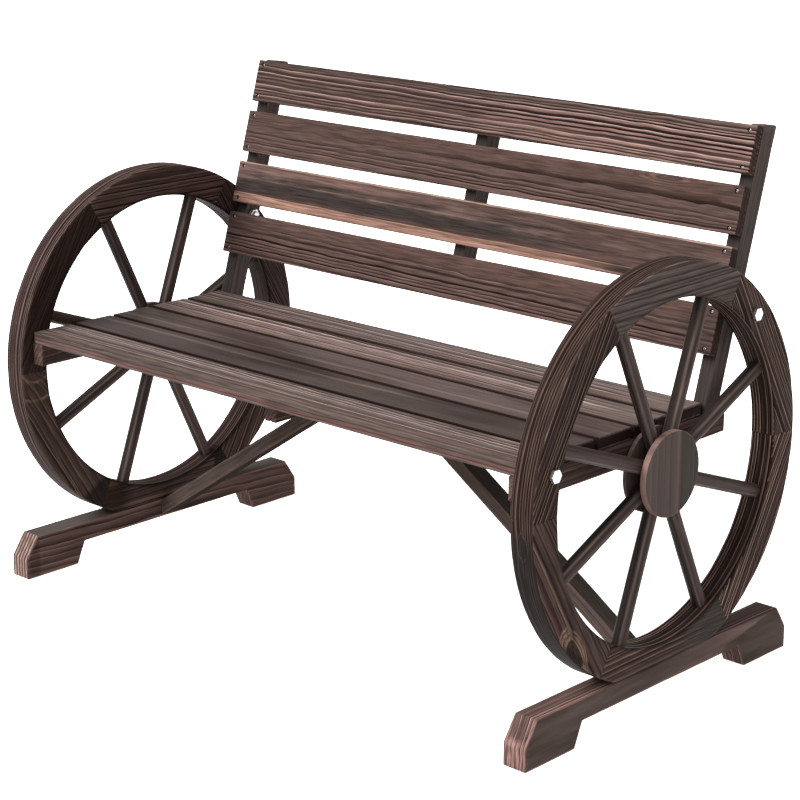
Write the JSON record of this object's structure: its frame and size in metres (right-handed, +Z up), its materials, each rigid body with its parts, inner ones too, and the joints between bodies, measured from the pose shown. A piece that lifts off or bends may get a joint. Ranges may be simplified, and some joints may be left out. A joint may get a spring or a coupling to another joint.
{
  "type": "wagon wheel bench",
  "caption": "Rustic garden bench: a slatted seat and leaning slatted back held between cut-down spoked wagon wheels that stand on chamfered runners, in dark scorched softwood.",
  "frame": {"origin": "on the floor, midway between the wheels and under their axles", "axes": "+X along the bench to the right as seen from the front, +Y to the back, +Z up; the sitter faces -Y"},
  "size_m": [1.0602, 0.582, 0.7629],
  "materials": {
    "carbonised_fir": "scorched and brushed softwood, dark brown with lighter grain bands, semi-matte oiled",
    "zinc_steel": "bright zinc plating"
  },
  "bodies": {
    "root": {"left_felloe_1": "carbonised_fir", "left_felloe_2": "carbonised_fir", "left_felloe_3": "carbonised_fir", "left_felloe_4": "carbonised_fir", "left_felloe_5": "carbonised_fir", "left_felloe_6": "carbonised_fir", "left_spoke_1": "carbonised_fir", "left_spoke_2": "carbonised_fir", "left_spoke_3": "carbonised_fir", "left_spoke_4": "carbonised_fir", "left_spoke_5": "carbonised_fir", "left_spoke_6": "carbonised_fir", "left_spoke_7": "carbonised_fir", "left_spoke_8": "carbonised_fir", "left_hub_inner": "carbonised_fir", "left_hub_outer": "carbonised_fir", "left_runner": "carbonised_fir", "left_seat_rail": "carbonised_fir", "left_post": "carbonised_fir", "left_brace": "carbonised_fir", "right_felloe_1": "carbonised_fir", "right_felloe_2": "carbonised_fir", "right_felloe_3": "carbonised_fir", "right_felloe_4": "carbonised_fir", "right_felloe_5": "carbonised_fir", "right_felloe_6": "carbonised_fir", "right_spoke_1": "carbonised_fir", "right_spoke_2": "carbonised_fir", "right_spoke_3": "carbonised_fir", "right_spoke_4": "carbonised_fir", "right_spoke_5": "carbonised_fir", "right_spoke_6": "carbonised_fir", "right_spoke_7": "carbonised_fir", "right_spoke_8": "carbonised_fir", "right_hub_inner": "carbonised_fir", "right_hub_outer": "carbonised_fir", "right_runner": "carbonised_fir", "right_seat_rail": "carbonised_fir", "right_post": "carbonised_fir", "right_brace": "carbonised_fir", "seat_slat_1": "carbonised_fir", "seat_slat_2": "carbonised_fir", "seat_slat_3": "carbonised_fir", "seat_slat_4": "carbonised_fir", "seat_slat_5": "carbonised_fir", "centre_seat_rail": "carbonised_fir", "back_slat_1": "carbonised_fir", "back_slat_2": "carbonised_fir", "back_slat_3": "carbonised_fir", "back_slat_4": "carbonised_fir", "back_batten": "carbonised_fir", "left_front_bolt": "zinc_steel", "left_rear_bolt": "zinc_steel", "left_rear_nut": "zinc_steel", "right_front_bolt": "zinc_steel", "right_rear_bolt": "zinc_steel", "right_rear_nut": "zinc_steel"}
  },
  "joints": []
}
